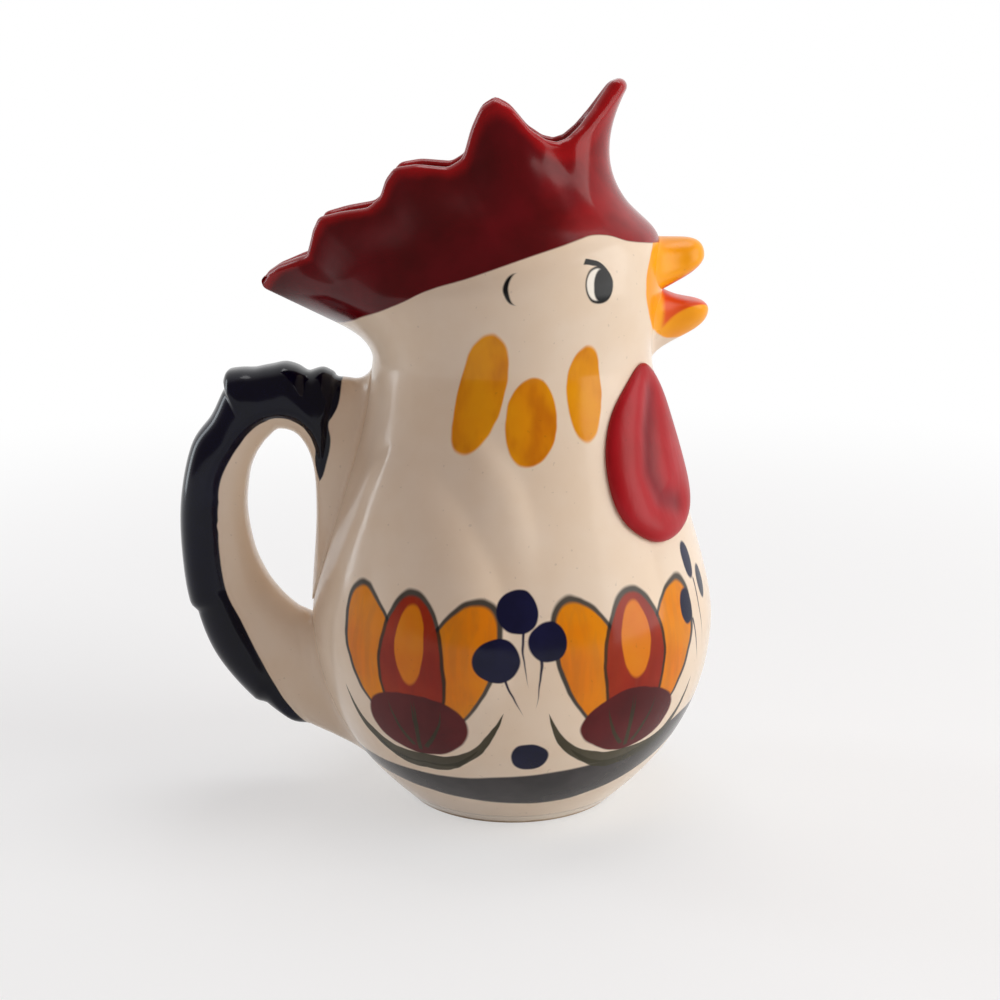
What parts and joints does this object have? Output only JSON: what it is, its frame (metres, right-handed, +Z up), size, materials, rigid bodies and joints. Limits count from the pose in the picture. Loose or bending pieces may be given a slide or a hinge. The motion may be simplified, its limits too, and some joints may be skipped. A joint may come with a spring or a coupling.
{
  "type": "rooster pitcher",
  "caption": "Glazed ceramic pitcher shaped as a rooster, with an open comb as its mouth and pouring lip, a beak, wattles, wings and a tail-feather loop handle.",
  "frame": {"origin": "centre of the foot ring on the plane that the pitcher rests on", "axes": "+Z up along the axis of the thrown belly, +X towards the beak and pouring lip, +Y to the rooster's left side"},
  "size_m": [0.154, 0.1198, 0.2054],
  "materials": {
    "cream_glaze": "gloss",
    "bare_clay": "matt",
    "comb_red_glaze": "gloss",
    "beak_yellow_glaze": "gloss",
    "wattle_red_glaze": "gloss",
    "feather_blue_glaze": "gloss"
  },
  "bodies": {
    "root": {"foot_ring": "bare_clay", "belly": "cream_glaze", "head": "cream_glaze", "comb": "comb_red_glaze", "upper_beak": "beak_yellow_glaze", "lower_beak": "beak_yellow_glaze", "wattle_left": "wattle_red_glaze", "wattle_right": "wattle_red_glaze", "wing_left": "cream_glaze", "wing_right": "cream_glaze", "covert_left": "cream_glaze", "covert_right": "cream_glaze", "handle": "cream_glaze", "tail_curl": "feather_blue_glaze", "tail_feather_upper": "feather_blue_glaze", "tail_feather_middle": "feather_blue_glaze", "tail_feather_lower": "feather_blue_glaze"}
  },
  "joints": []
}
